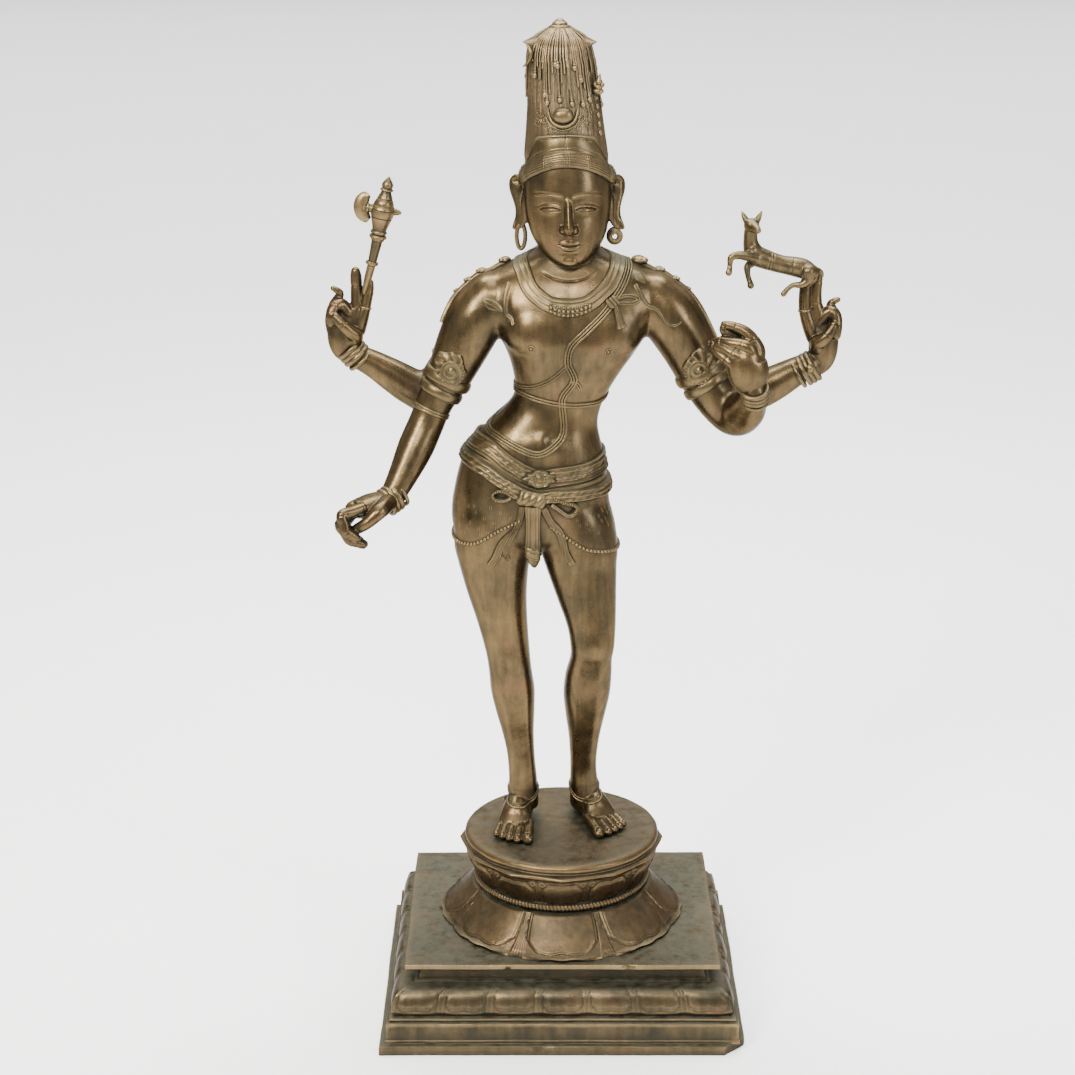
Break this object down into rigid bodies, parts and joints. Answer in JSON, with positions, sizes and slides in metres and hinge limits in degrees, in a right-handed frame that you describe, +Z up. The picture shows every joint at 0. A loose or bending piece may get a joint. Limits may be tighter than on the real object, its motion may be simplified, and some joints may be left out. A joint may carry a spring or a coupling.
{
  "type": "shiva statue",
  "caption": "Standing four-armed deity in cast bronze on a round lotus pedestal and a square moulded base, holding an axe and a small leaping antelope.",
  "frame": {"origin": "middle of the square base's underside", "axes": "+Z up, the figure faces -Y, and the figure's own right hand is at -X"},
  "size_m": [0.5983, 0.379, 1.218],
  "materials": {
    "figure_bronze": "aged brown bronze, worn golden on the high places",
    "base_bronze": "aged dark bronze with grey-green patina on the ledges"
  },
  "bodies": {
    "root": {"figure": "figure_bronze", "base": "base_bronze"}
  },
  "joints": []
}
